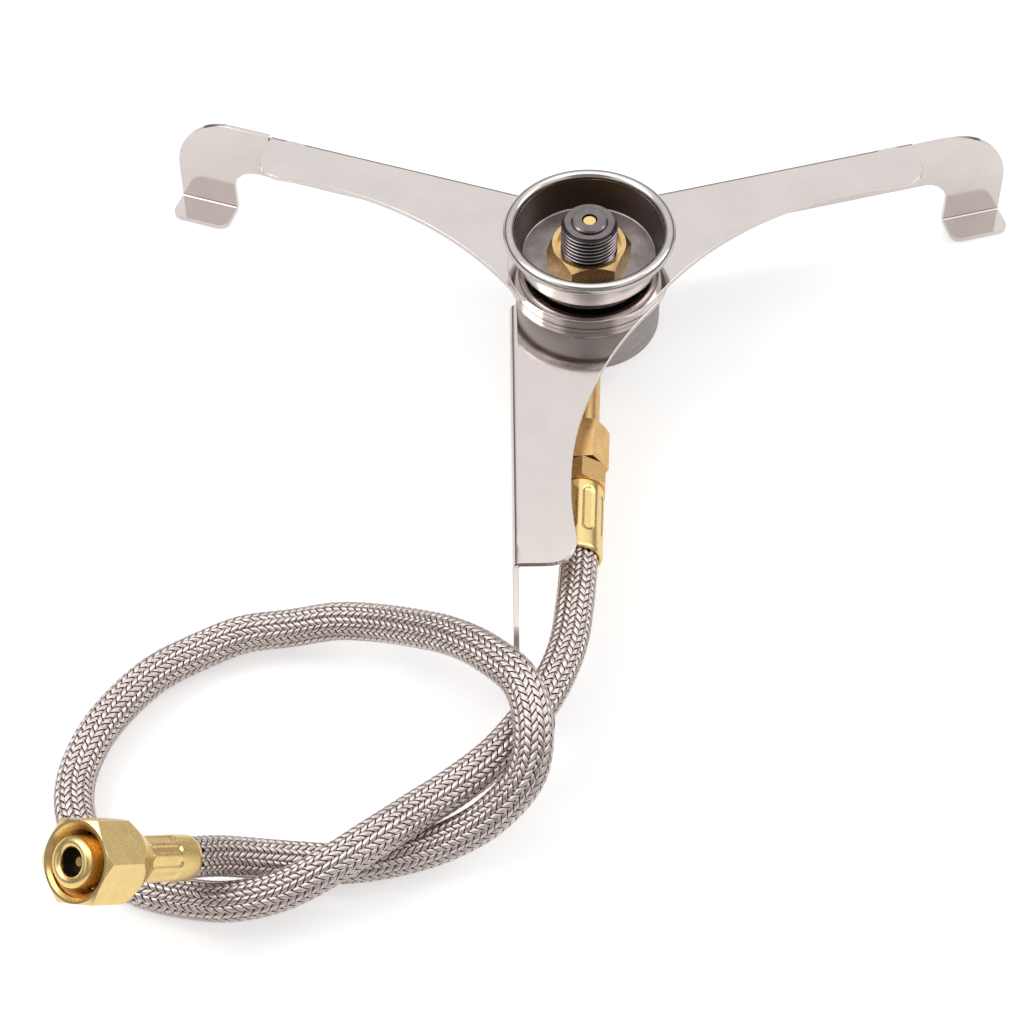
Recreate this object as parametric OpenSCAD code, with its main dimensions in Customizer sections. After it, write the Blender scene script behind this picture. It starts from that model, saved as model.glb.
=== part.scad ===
// Remote canister adapter: a tripod stand that takes a screw-on camping stove,
// fed through a braided hose from a fitting that screws onto a gas canister.
// Millimetres. +Z is up, the floor is z = 0, the valve axis is the Z axis and
// the gas line leaves along -Y.

/* [Legs] */
// Thickness of the stainless sheet
sheet = 1; // [0.8:0.1:1.2]
// Running gap between the stacked hub discs
disc_gap = 0.1; // [0.1:0.05:0.2]
// Radius of each leg's hub disc
hub_r = 16; // [15.5:0.1:17]
// Distance of the web's outer face from the leg's centre line
web_offset = 15.7; // [15:0.1:17]
// Distance from the valve axis to the end of the flange
flange_end = 73.7; // [70:0.1:76]
// Distance from the valve axis to the narrowest place of the flange
waist_at = 57; // [52:0.5:60]
// Width of the flange at its narrowest place
waist_width = 11; // [9:0.1:12]
// Radius of the flange's free corner
free_corner_r = 5.5; // [3:0.1:6]
// Outer radius of the fold between flange and web
fold_r = 1.5; // [1.3:0.1:2]
// Length of the relief notches at both ends of the fold
notch = 0.8; // [0.5:0.1:1.2]
// Height of the web's lower edge above the floor
web_low = 12.2; // [11:0.1:13]
// Distance from the valve axis to the tip of the foot
leg_reach = 96; // [92:0.5:98]
// Radius of the rounded shoulder above the foot
shoulder_r = 14; // [13:0.1:14.5]
// Height of the shoulder's centre above the floor
shoulder_z = 10; // [9:0.1:10.5]
// Radius of the hollow behind the foot
hollow_r = 5.8; // [4:0.1:6]
// Length of the foot along the leg
foot_length = 12.5; // [11:0.1:13]
// Width of the foot tab, measured in from the web's outer face
foot_width = 7.4; // [6:0.1:9]
// Outer radius of the fold above the foot tab
foot_fold_r = 1.4; // [1.3:0.1:2]
// Radius of the foot tab's free corners
foot_corner_r = 2; // [0.5:0.1:2.5]
// Direction of the front leg
front_azimuth = -87.1; // [-88:0.1:-86]
// Direction of the left leg, unfolded
left_azimuth = 163.3; // [162:0.1:165]
// Direction of the right leg, unfolded
right_azimuth = 18; // [17:0.1:20]

/* [Hub] */
// Radius of the housing
housing_r = 14.4; // [14:0.1:15]
// Height of the housing's underside above the floor
housing_z = 8.7; // [8:0.1:9]
// Height of the housing
housing_h = 13.3; // [13:0.1:14]
// Radius of the housing's bottom edge
housing_edge_r = 2; // [1:0.1:2.5]
// Wall of the housing
housing_wall = 2; // [1.6:0.1:2.4]
// Floor of the housing
housing_floor = 1.8; // [1.6:0.1:2]
// Radius of the pivot bush on which the legs turn
bush_r = 7.5; // [7.2:0.1:8]
// Distance between the two flats of the bush's keyed foot
bush_key = 13; // [12.6:0.1:13.4]
// Depth to which the bush's foot sits in the housing
bush_seat = 1.4; // [1.2:0.1:1.8]
// Height of the bush above the top hub disc
bush_rise = 1.6; // [1.5:0.1:2]
// Outer radius of the flat thrust washer
thrust_r = 12; // [11:0.1:13]
// Thickness of the thrust washer
thrust_t = 0.5; // [0.4:0.05:0.6]
// Outer radius of the wave washer
wave_r = 11; // [10:0.1:12]
// Thickness of the wave washer
wave_t = 0.4; // [0.3:0.05:0.4]
// Radial clearance of the legs and washers on the bush
turn_gap = 0.06; // [0.03:0.01:0.1]

/* [Cup] */
// Thickness of the cup's sheet
cup_sheet = 0.8; // [0.6:0.1:1]
// Outer radius of the cup at its base
cup_base_r = 14.1; // [13.6:0.1:14.3]
// Inner radius of the cup at its mouth
cup_mouth_r = 14.5; // [14.2:0.1:15.5]
// Outer radius of the bottom corner
cup_corner_r = 1.2; // [1.1:0.1:1.6]
// Height from the cup's underside to the middle of the rolled rim
cup_depth = 7.2; // [6.5:0.1:8]
// Radius of the rolled rim's section
rim_r = 1.2; // [1:0.05:1.3]

/* [Valve] */
// Major radius of the 7/16 inch valve thread
thread_r = 5.55; // [5.5:0.01:5.6]
// Height of the stem's shoulder above the top of the nut
stem_rise = 5.8; // [5.2:0.1:6.5]
// Chamfer at the top of the stem
stem_chamfer = 0.7; // [0.4:0.1:0.9]
// Radius of the raised boss on the stem
boss_r = 3.5; // [3.2:0.1:4]
// Height of the raised boss
boss_h = 0.6; // [0.4:0.1:1]
// Distance across the flats of the stem nut
nut_flats = 14.5; // [14:0.1:15]
// Height of the stem nut
nut_h = 3.2; // [3:0.1:4]
// Radius of the recess in the nut's top
nut_recess_r = 6.35; // [6.1:0.05:6.6]
// Depth of the recess in the nut's top
nut_recess_h = 1.2; // [0.6:0.1:1.4]
// Turn of the nut's flats from the gas line
nut_turn = 8; // [0:1:20]
// Slope of the chamfer on the nut's corners
nut_chamfer_angle = 45; // [30:1:50]
// Radius of the chamber inside the stem
chamber_r = 3; // [2.8:0.1:3.2]
// Radius of the valve pin
pin_r = 1.2; // [1.1:0.05:1.3]
// Radius of the pin's flange
pin_flange_r = 2.5; // [2.3:0.1:2.7]
// Thickness of the pin's flange
pin_flange_h = 1.5; // [1.2:0.1:1.8]
// Distance of the pin's tip below the boss
pin_sunk = 0.3; // [0.1:0.1:0.5]
// Thickness of the seal under the stem's top
seal_h = 1.2; // [1:0.1:1.4]
// Thickness of the metal above the seal
stem_roof = 3.6; // [3.2:0.1:4]
// Wire thickness of the valve spring
spring_wire = 0.4; // [0.3:0.05:0.5]
// Length of the valve spring at rest
spring_h = 6.3; // [5.6:0.1:6.8]
// Thickness of the screwed-in spring seat
seat_h = 3; // [2.5:0.1:3.4]

/* [Gas line] */
// Height of the gas line above the floor
line_z = 14; // [13.8:0.1:14.4]
// Outer radius of the gas pipe
pipe_r = 3; // [2.8:0.1:3.2]
// Radius of the gas passages
passage_r = 1.4; // [1:0.1:1.6]
// Distance from the valve axis to the coupler
coupler_at = 34.7; // [32:0.1:36]
// Length of the coupler
coupler_length = 9.6; // [9:0.1:11]
// Distance across the flats of the coupler
coupler_flats = 8.8; // [8.6:0.1:9.2]
// Turn of the coupler's corners
coupler_turn = 7.6; // [0:0.1:12]
// Slope of the chamfer on the coupler's corners
coupler_chamfer_angle = 30; // [20:1:40]
// Depth to which the pipe is brazed into the coupler
pipe_socket = 4.6; // [4:0.1:5]
// Thickness of the gasket in the coupling
gasket_t = 0.5; // [0.4:0.1:0.8]
// Length of the hex on the hose tail
tail_hex_length = 4.8; // [4:0.1:6]
// Distance across the flats of the hose tail's hex
tail_flats = 8.9; // [8.6:0.1:9.2]
// Radius of the hose tail's threaded end
tail_thread_r = 3.3; // [3.1:0.1:3.5]
// Length of the hose tail's threaded end
tail_thread_length = 2.6; // [2:0.1:3]

/* [Hose and ferrules] */
// Outer radius of the braided hose
hose_r = 3.6; // [3.4:0.05:3.65]
// Inner radius of the ferrules at the hose
ferrule_bore_r = 3; // [2.8:0.05:3.2]
// Slope and depth of the turned-in edge at each ferrule's mouth
ferrule_mouth = 0.6; // [0.3:0.1:0.9]
// Outer radius of the ferrule beside the coupler
near_ferrule_r = 4.3; // [4.2:0.05:4.4]
// Length of the ferrule beside the coupler
near_ferrule_length = 16.4; // [15.5:0.1:17.5]
// Distance across the eight flats pressed into it
near_crimp_flats = 8.1; // [7.9:0.1:8.3]
// Length of its plain band at the hose
near_mouth_band = 3; // [2:0.1:4]
// Length of its plain band at the coupler
near_back_band = 3; // [2:0.1:4]
// Outer radius of the ferrule at the canister end
far_ferrule_r = 4; // [3.9:0.05:4.1]
// Length of the ferrule at the canister end
far_ferrule_length = 12.4; // [11.5:0.1:13.5]
// Distance across the ten flats pressed into it
far_crimp_flats = 7.5; // [7.3:0.1:7.7]
// Length of its plain band at the hose
far_mouth_band = 4.9; // [4:0.1:6]

/* [Canister fitting] */
// Direction of the fitting seen from above
fitting_azimuth = 222.7; // [218:0.1:228]
// Angle of the fitting above the floor
fitting_rise = 44; // [40:0.5:50]
// Radius of the collar behind the union nut
collar_r = 3.7; // [3.5:0.1:4]
// Length of the collar
collar_length = 0.5; // [0.4:0.1:1]
// Radius of the neck on which the union nut turns
neck_r = 3; // [2.8:0.05:3.2]
// Gap between the collar and the union nut
neck_gap = 0.3; // [0.2:0.1:0.6]
// Distance across the flats of the union nut
union_flats = 13.5; // [13.3:0.1:14]
// Length of the union nut
union_length = 14; // [13:0.1:15]
// Length of the union nut's tapered shoulder
union_shoulder = 6; // [5:0.1:6.5]
// Radius of the shoulder's small end
union_small_r = 4.5; // [4.3:0.1:4.8]
// Radius of the union nut's thread
union_thread_r = 5.75; // [5.65:0.05:5.85]
// Thickness of the union nut's inner wall
union_wall = 5; // [4.6:0.1:5.4]
// Turn of the union nut's corners
union_turn = 6; // [-15:1:15]
// Radius of the nose that presses into the canister's valve
nose_r = 4.25; // [4:0.05:4.4]
// Distance by which the nose stands out of the union nut
nose_out = 1.4; // [1:0.1:2]
// Radius of the nose's mouth
nose_bore_r = 2.3; // [2:0.05:2.5]
// Depth of the nose's mouth
nose_bore_depth = 5.4; // [5:0.1:6]
// Radius of the flange inside the union nut
nipple_flange_r = 5.4; // [5.2:0.05:5.5]
// Thickness of the flange inside the union nut
nipple_flange_h = 1.5; // [1.2:0.1:2]
// Radius of the pin that opens the canister's valve
depressor_r = 0.75; // [0.6:0.05:0.9]
// Distance of that pin's tip below the nose
depressor_sunk = 2.4; // [2:0.1:2.8]

/* [Hidden] */

stainless = [0.85, 0.84, 0.82];
satin_grey = [0.56, 0.53, 0.53];
brass = [0.80, 0.64, 0.38];
pale_brass = [0.88, 0.78, 0.52];
gunmetal = [0.42, 0.38, 0.35];
black_rubber = [0.08, 0.08, 0.08];
braid = [0.66, 0.63, 0.62];

round_fn = 96;
small_fn = 48;
cut = 1;
fit_gap = 0.05;
seat_gap = 0.03;
mesh_slack = 0.01;
notch_depth = 3;
hook_drop = 0.3;

// Heights of the stack, from the housing up
stack_z = housing_z + housing_h;
disc_step = sheet + disc_gap;
front_top = stack_z + sheet;
left_top = front_top + disc_step;
right_top = left_top + disc_step;
bush_top = right_top + bush_rise;
cup_z = bush_top;
cup_floor_z = cup_z + cup_sheet;
rim_z = cup_z + cup_depth;
rim_centre_r = cup_mouth_r + rim_r;
nut_top = cup_floor_z + nut_h;
stem_shoulder_z = nut_top + stem_rise;
stem_top = stem_shoulder_z + boss_h;
wave_clearance = 0.4;
relief_h = 0.5;
relief_depth = 0.5;

// Inside the valve
cavity_r = housing_r - housing_wall;
cavity_z = housing_z + housing_floor;
block_r = cavity_r - fit_gap;
stem_bottom = line_z + pipe_r;
block_wall = 1;
chamber_drop = 0.3;
chamber_z = line_z - passage_r - chamber_drop;
seal_z = stem_shoulder_z - stem_roof;
seal_bottom = seal_z - seal_h;
pin_flange_z = seal_bottom - pin_flange_h;
spring_z = pin_flange_z - spring_h;
seat_z = spring_z - seat_h;
pin_clearance = 0.3;
pin_hole_r = pin_r + pin_clearance;
seal_hole_r = pin_r + fit_gap;
seat_hole_r = 1.2;
spring_clearance = 0.2;
spring_mean_r = pin_flange_r - spring_wire - spring_clearance;
spring_turns = 5;
screw_r = 2;
screw_head_r = 3.6;
screw_head_h = 1.2;
screw_grip = 1.2;
screw_slot = 0.8;
screw_slot_r = 3.1;

// Gas line, measured along -Y from the valve axis
pipe_from = thread_r + block_wall;
pipe_to = coupler_at + pipe_socket;
coupler_end = coupler_at + coupler_length;
tail_hex_from = coupler_end + gasket_t;
tail_hex_to = tail_hex_from + tail_hex_length;
hose_from = tail_hex_to + near_ferrule_length;
barb_r = ferrule_bore_r - fit_gap;
barb_short = 1;
gasket_inset = 0.3;

// Canister fitting, measured along its own axis from the end of the hose
collar_at = far_ferrule_length;
neck_at = collar_at + collar_length;
union_at = neck_at + neck_gap;
union_end = union_at + union_length;
union_face_chamfer = 0.6;
nose_end = union_end + nose_out;
flange_gap = 0.2;
flange_at = union_at + union_wall + flange_gap;
union_mouth_flare = 0.55;
union_mouth_r = union_thread_r + union_mouth_flare;
depressor_tip = nose_end - depressor_sunk;
depressor_disc_h = 0.8;
disc_hole_r = 0.4;
depressor_disc_at = nose_end - nose_bore_depth;

// Route of the hose from the near ferrule to the canister fitting.  It leaves
// along the gas line, dips over the floor in one loop, passes over the front
// foot and over itself, and ends along the fitting's axis.
HOSE_POINTS = [
    [0, -66, 14], [-0.5, -76, 14], [-1.5, -85, 13.5], [-4, -93.5, 13.5],
    [-8, -101.5, 13.2], [-13.5, -109, 12.2], [-20, -115, 11.4], [-27, -120.5, 11],
    [-33.5, -126.5, 11.8], [-41, -132, 10.8], [-49, -135.5, 8.2], [-57.5, -137, 6.5],
    [-66, -135.5, 4.5], [-74.5, -133, 4], [-82, -128, 4], [-87, -120.5, 4],
    [-88.5, -112, 4], [-86.5, -103, 4.5], [-82.5, -95, 4.5], [-77, -88, 4.5],
    [-70, -82.5, 4], [-62, -78.5, 4.5], [-53, -77, 5], [-44.5, -77, 7.5],
    [-36.5, -79, 10], [-29, -83, 14], [-22.5, -87.5, 18], [-16, -93, 20.9],
    [-9.5, -100, 22], [-7, -108, 20], [-8, -115, 15.2], [-14, -120, 9.6],
    [-22, -123.2, 5.8], [-30.5, -125.5, 4.2], [-39, -127, 3.8], [-47, -127.2, 4.2],
    [-54, -128.3, 6.6], [-60.2, -130.7, 10.9], [-64.985, -134.793, 16.465]
];
hose_sides = 12;
hose_end = HOSE_POINTS[len(HOSE_POINTS) - 1];
start_direction = [0, -1, 0];
fitting_direction = [
    cos(fitting_azimuth) * cos(fitting_rise),
    sin(fitting_azimuth) * cos(fitting_rise),
    sin(fitting_rise)
];

function unit(v) = v / norm(v);

// Point of a Catmull-Rom curve between b and c
function curve(a, b, c, d, t) =
    0.5 * (2 * b + (c - a) * t + (2 * a - 5 * b + 4 * c - d) * t * t
        + (3 * b - 3 * c + d - a) * t * t * t);

// Points with their mirrored end points, then two rings for each stretch
function curve_points(p) =
    let (last = len(p) - 1, q = concat([2 * p[0] - p[1]], p, [2 * p[last] - p[last - 1]]))
    concat([for (i = [0:last - 1], t = [0, 0.5]) curve(q[i], q[i + 1], q[i + 2], q[i + 3], t)],
        [p[last]]);

// Direction of the curve at each ring, with the directions of both ends given
function ring_directions(c, first, final) =
    let (last = len(c) - 1)
    [for (i = [0:last]) i == 0 ? first : i == last ? final : unit(c[i + 1] - c[i - 1])];

// Sideways direction carried along the curve without twist
function carried(side, dirs, i) =
    i == len(dirs) ? []
    : let (s = unit(side - (side * dirs[i]) * dirs[i])) concat([s], carried(s, dirs, i + 1));

// Closed skin over rings of points that follow each other, with flat ends
module tube_skin(rings, sides) {
    last = len(rings) / sides - 1;
    walls = [
        for (i = [0:last - 1], k = [0:sides - 1])
        let (a = i * sides + k, b = i * sides + (k + 1) % sides)
        each [[a, b + sides, b], [a, a + sides, b + sides]]
    ];
    near_cap = [[for (k = [0:sides - 1]) k]];
    far_cap = [[for (k = [0:sides - 1]) last * sides + sides - 1 - k]];
    polyhedron(points = rings, faces = concat(walls, near_cap, far_cap));
}

module swept_tube(points, radius, sides, first, final) {
    c = curve_points(points);
    dirs = ring_directions(c, first, final);
    across = carried([1, 0, 0], dirs, 0);
    tube_skin([
        for (i = [0:len(c) - 1], k = [0:sides - 1])
        let (a = 360 * k / sides, up = cross(dirs[i], across[i]))
        c[i] + radius * (cos(a) * across[i] + sin(a) * up)
    ], sides);
}

// A plate in the leg's vertical plane, from its profile of distance and height
module upright(offset_y, thickness) {
    translate([0, offset_y, 0]) rotate([90, 0, 0]) linear_extrude(thickness) children();
}

// A folded strip that runs along the leg, from its profile of width and height
module along_leg(from, to) {
    translate([from, 0, 0]) rotate([90, 0, 90]) linear_extrude(to - from) children();
}

// A quarter of a ring between two straight plates
module fold_profile(outer, thickness) {
    intersection() {
        difference() {
            circle(outer, $fn = small_fn);
            circle(outer - thickness, $fn = small_fn);
        }
        square(outer);
    }
}

module hex_bar(flats, length) {
    cylinder(r = flats / 2 / cos(30), h = length, $fn = 6);
}

// The hex's corners cut back by a cone of that angle at one end or both
module chamfered_hex(flats, length, angle, low, high) {
    corner = flats / 2 / cos(30);
    drop = (corner - flats / 2) * tan(angle) + fit_gap;
    intersection() {
        hex_bar(flats, length);
        union() {
            translate([0, 0, low ? drop : 0])
                cylinder(r = corner + cut, h = length - (low ? drop : 0) - (high ? drop : 0));
            if (low) cylinder(r1 = flats / 2 - fit_gap, r2 = corner, h = drop, $fn = round_fn);
            if (high) translate([0, 0, length - drop])
                cylinder(r1 = corner, r2 = flats / 2 - fit_gap, h = drop, $fn = round_fn);
        }
    }
}

// A ferrule that starts at its mouth: a round sleeve, pressed to that number of
// flats between two distances
module ferrule(length, radius, flats, number, from, to) {
    flat_corner_r = flats / 2 / cos(180 / number);
    difference() {
        union() {
            cylinder(r1 = radius - ferrule_mouth, r2 = radius, h = ferrule_mouth, $fn = small_fn);
            translate([0, 0, ferrule_mouth])
                cylinder(r = radius, h = from - ferrule_mouth, $fn = small_fn);
            intersection() {
                translate([0, 0, ferrule_mouth])
                    cylinder(r = radius, h = to - ferrule_mouth, $fn = small_fn);
                translate([0, 0, ferrule_mouth])
                    cylinder(r = flat_corner_r, h = to - ferrule_mouth, $fn = number);
            }
            if (to < length) translate([0, 0, to])
                cylinder(r = radius, h = length - to, $fn = small_fn);
        }
        translate([0, 0, -cut]) cylinder(r = ferrule_bore_r, h = length + 2 * cut, $fn = small_fn);
    }
}

module on_gas_line(distance) {
    translate([0, -distance, line_z]) rotate([90, 0, 0]) children();
}

module on_fitting(distance) {
    translate(hose_end) rotate([0, 90 - fitting_rise, fitting_azimuth])
        translate([0, 0, distance]) children();
}

// Outline of the flange: hub disc, waisted arm and rounded free corner
module flange_outline() {
    fold_line = web_offset - fold_r;
    waist_t = web_offset - waist_width;
    sweep_r = (waist_at * waist_at + waist_t * waist_t - hub_r * hub_r)
        / (2 * (hub_r + waist_t));
    sweep_centre = [waist_at, waist_t - sweep_r];
    corner_s = flange_end - free_corner_r;
    corner_t = sweep_centre[1]
        + sqrt(pow(sweep_r + free_corner_r, 2) - pow(corner_s - waist_at, 2));
    join_s = waist_at + (corner_s - waist_at) * sweep_r / (sweep_r + free_corner_r);
    leave = hub_r * unit(sweep_centre);
    circle(hub_r, $fn = round_fn);
    difference() {
        polygon([[0, 0], leave, [join_s, leave[1]], [join_s, fold_line], [0, fold_line]]);
        translate(sweep_centre) circle(sweep_r, $fn = 360);
        translate([0, fold_line - notch_depth]) square([web_start() - notch, notch_depth + cut]);
    }
    translate([corner_s, corner_t]) circle(free_corner_r, $fn = small_fn);
    translate([join_s, corner_t]) square([flange_end - join_s, fold_line - corner_t]);
}

// The web starts beyond the hub disc, after a relief notch on each side
function web_start() = sqrt(pow(hub_r, 2) - pow(web_offset - fold_r, 2)) + 2 * notch;

// Outline of the web with its shoulder and the leg down to the foot
module web_outline(top_z) {
    shoulder_s = leg_reach - shoulder_r;
    foot_s = leg_reach - foot_length;
    arm_top = top_z - fold_r;
    hook_top = min(top_z - hook_drop, shoulder_z + shoulder_r);
    translate([web_start(), web_low])
        square([flange_end + notch - web_start(), arm_top - web_low]);
    translate([flange_end + notch, web_low])
        square([shoulder_s - flange_end - notch, hook_top - web_low]);
    intersection() {
        translate([shoulder_s, shoulder_z]) circle(shoulder_r, $fn = round_fn);
        translate([shoulder_s, shoulder_z]) square([shoulder_r, hook_top - shoulder_z]);
    }
    translate([foot_s, foot_fold_r]) square([foot_length, shoulder_z - foot_fold_r]);
    difference() {
        translate([foot_s - hollow_r, web_low - hollow_r])
            square([hollow_r + cut, hollow_r + cut / 2]);
        translate([foot_s - hollow_r, web_low - hollow_r]) circle(hollow_r, $fn = small_fn);
    }
}

// Foot tab, folded in under the leg, with rounded free corners
module foot_outline() {
    from_s = leg_reach - foot_length;
    free_t = web_offset - foot_width;
    fold_t = web_offset - foot_fold_r;
    difference() {
        translate([from_s, free_t]) square([foot_length, fold_t - free_t]);
        for (s = [from_s, leg_reach]) translate([s, free_t])
            square(2 * foot_corner_r, center = true);
    }
    for (s = [from_s + foot_corner_r, leg_reach - foot_corner_r])
        translate([s, free_t + foot_corner_r]) circle(foot_corner_r, $fn = small_fn);
}

// One leg with its web on the +Y side, pointing along +X.  Its children are
// cut out of the hub disc.
module leg(top_z) {
    difference() {
        translate([0, 0, top_z - sheet]) linear_extrude(sheet) flange_outline();
        children();
    }
    along_leg(web_start(), flange_end) translate([web_offset - fold_r, top_z - fold_r])
        fold_profile(fold_r, sheet);
    upright(web_offset, sheet) web_outline(top_z);
    along_leg(leg_reach - foot_length, leg_reach) translate([web_offset - foot_fold_r, foot_fold_r])
        mirror([0, 1]) fold_profile(foot_fold_r, sheet);
    linear_extrude(sheet) foot_outline();
}

module bush_hole(top_z) {
    translate([0, 0, top_z - sheet - cut])
        cylinder(r = bush_r + turn_gap, h = sheet + 2 * cut, $fn = round_fn);
}

// The bush's foot: a round bar with two flats
module bush_key_bar(gap, length) {
    intersection() {
        cylinder(r = bush_r + gap, h = length, $fn = round_fn);
        translate([0, 0, length / 2])
            cube([2 * bush_r + 2 * cut, bush_key + 2 * gap, length], center = true);
    }
}

module leg_front() {
    color(stainless) rotate(front_azimuth) mirror([0, 1, 0]) leg(front_top)
        rotate(front_azimuth) translate([0, 0, stack_z - cut])
            bush_key_bar(seat_gap, sheet + 2 * cut);
}

module leg_left() {
    color(stainless) rotate(left_azimuth) mirror([0, 1, 0]) leg(left_top) bush_hole(left_top);
}

module leg_right() {
    color(stainless) rotate(right_azimuth) leg(right_top) bush_hole(right_top);
}

module housing() {
    color(satin_grey) difference() {
        union() {
            translate([0, 0, housing_z + housing_edge_r])
                cylinder(r = housing_r, h = housing_h - housing_edge_r, $fn = round_fn);
            translate([0, 0, housing_z])
                cylinder(r = housing_r - housing_edge_r, h = housing_edge_r, $fn = round_fn);
            translate([0, 0, housing_z + housing_edge_r]) rotate_extrude($fn = round_fn)
                translate([housing_r - housing_edge_r, 0])
                    intersection() {
                        circle(housing_edge_r, $fn = small_fn);
                        translate([0, -housing_edge_r]) square(housing_edge_r);
                    }
        }
        translate([0, 0, cavity_z]) cylinder(r = cavity_r, h = housing_h, $fn = round_fn);
        on_gas_line(0) cylinder(r = pipe_r + fit_gap, h = housing_r + cut, $fn = small_fn);
        screw_hole();
    }
}

module screw_hole() {
    translate([0, 0, housing_z - cut])
        cylinder(r = screw_head_r + fit_gap, h = screw_head_h + cut, $fn = small_fn);
    translate([0, 0, housing_z])
        cylinder(r = screw_r + fit_gap, h = housing_floor + screw_grip + fit_gap, $fn = small_fn);
}

module base_screw() {
    color(stainless) difference() {
        union() {
            translate([0, 0, housing_z + fit_gap])
                cylinder(r = screw_head_r, h = screw_head_h - fit_gap, $fn = small_fn);
            translate([0, 0, housing_z + screw_head_h - fit_gap])
                cylinder(r = screw_r, h = housing_floor - screw_head_h + screw_grip, $fn = small_fn);
        }
        translate([0, 0, housing_z])
            cube([2 * screw_slot_r, screw_slot, screw_slot], center = true);
    }
}

module valve_block() {
    color(brass) difference() {
        translate([0, 0, cavity_z]) cylinder(r = block_r, h = stack_z - cavity_z, $fn = round_fn);
        translate([0, 0, stack_z - bush_seat]) bush_key_bar(seat_gap, bush_seat + cut);
        translate([0, 0, stem_bottom]) cylinder(r = thread_r + fit_gap, h = housing_h, $fn = round_fn);
        translate([0, 0, chamber_z])
            cylinder(r = chamber_r, h = housing_h, $fn = small_fn);
        on_gas_line(0) cylinder(r = passage_r, h = housing_r, $fn = small_fn);
        on_gas_line(pipe_from) cylinder(r = pipe_r + seat_gap, h = housing_r, $fn = small_fn);
        screw_hole();
    }
}

module pivot_bush() {
    foot_h = bush_seat + sheet;
    color(brass) difference() {
        union() {
            translate([0, 0, stack_z - bush_seat]) bush_key_bar(0, foot_h);
            translate([0, 0, front_top]) cylinder(r = bush_r, h = bush_top - front_top, $fn = round_fn);
        }
        translate([0, 0, stack_z - bush_seat - cut])
            cylinder(r = thread_r + fit_gap, h = bush_top, $fn = round_fn);
    }
}

module thrust_washer() {
    color(stainless) difference() {
        translate([0, 0, right_top + fit_gap]) cylinder(r = thrust_r, h = thrust_t, $fn = round_fn);
        translate([0, 0, right_top])
            cylinder(r = bush_r + turn_gap, h = thrust_t + cut, $fn = round_fn);
    }
}

// A ring that waves three times between the thrust washer and the cup
module wave_washer() {
    low = right_top + fit_gap + thrust_t + seat_gap;
    high = cup_z - seat_gap;
    middle = (low + high) / 2;
    swing = (high - low - wave_t) / 2;
    inner = bush_r + wave_clearance;
    steps = 48;
    ring_points = [
        for (i = [0:steps - 1])
        let (a = 360 * i / steps, z = middle + swing * cos(3 * a), x = cos(a), y = sin(a))
        each [
            [inner * x, inner * y, z - wave_t / 2], [wave_r * x, wave_r * y, z - wave_t / 2],
            [wave_r * x, wave_r * y, z + wave_t / 2], [inner * x, inner * y, z + wave_t / 2]
        ]
    ];
    ring_faces = [
        for (i = [0:steps - 1], k = [0:3])
        let (a = 4 * i + k, b = 4 * i + (k + 1) % 4, j = 4 * ((i + 1) % steps))
        let (c = j + (k + 1) % 4, d = j + k)
        each [[a, b, c], [a, c, d]]
    ];
    color(stainless) polyhedron(points = ring_points, faces = ring_faces);
}

module valve_cup() {
    color(stainless) rotate_extrude($fn = round_fn) {
        translate([thread_r + fit_gap, cup_z])
            square([cup_base_r - cup_corner_r - thread_r - fit_gap, cup_sheet]);
        translate([cup_base_r - cup_corner_r, cup_z + cup_corner_r])
            mirror([0, 1]) fold_profile(cup_corner_r, cup_sheet);
        polygon([
            [cup_base_r - cup_sheet, cup_z + cup_corner_r], [cup_base_r, cup_z + cup_corner_r],
            [cup_mouth_r + cup_sheet, rim_z], [cup_mouth_r, rim_z]
        ]);
        translate([rim_centre_r, rim_z]) circle(rim_r, $fn = small_fn);
    }
}

module stem_nut() {
    color(brass) translate([0, 0, cup_floor_z]) rotate(nut_turn) difference() {
        chamfered_hex(nut_flats, nut_h, nut_chamfer_angle, false, true);
        translate([0, 0, -cut]) cylinder(r = thread_r + fit_gap, h = nut_h + 2 * cut, $fn = round_fn);
        translate([0, 0, nut_h - nut_recess_h])
            cylinder(r = nut_recess_r, h = nut_h, $fn = round_fn);
    }
}

// Threaded stud with a relief groove level with the nut, a chamfer and a boss
module valve_stem() {
    color(gunmetal) difference() {
        union() {
            translate([0, 0, stem_bottom])
                cylinder(r = thread_r, h = nut_top - relief_h - stem_bottom, $fn = round_fn);
            translate([0, 0, nut_top - relief_h - cut])
                cylinder(r = thread_r - relief_depth, h = relief_h + 2 * cut, $fn = round_fn);
            translate([0, 0, nut_top])
                cylinder(r = thread_r, h = stem_rise - stem_chamfer, $fn = round_fn);
            translate([0, 0, stem_shoulder_z - stem_chamfer])
                cylinder(r1 = thread_r, r2 = thread_r - stem_chamfer, h = stem_chamfer, $fn = round_fn);
            translate([0, 0, stem_shoulder_z - cut])
                cylinder(r = boss_r, h = boss_h + cut, $fn = small_fn);
        }
        translate([0, 0, stem_bottom - cut])
            cylinder(r = chamber_r, h = seal_z - stem_bottom + cut, $fn = small_fn);
        cylinder(r = pin_hole_r, h = stem_top + cut, $fn = small_fn);
    }
}

module stem_seal() {
    color(black_rubber) difference() {
        translate([0, 0, seal_bottom]) cylinder(r = chamber_r - seat_gap, h = seal_h, $fn = small_fn);
        cylinder(r = seal_hole_r, h = stem_top, $fn = small_fn);
    }
}

module valve_pin() {
    color(pale_brass) {
        translate([0, 0, pin_flange_z])
            cylinder(r = pin_flange_r, h = pin_flange_h - fit_gap, $fn = small_fn);
        translate([0, 0, pin_flange_z])
            cylinder(r = pin_r, h = stem_top - pin_sunk - pin_flange_z, $fn = small_fn);
    }
}

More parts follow.
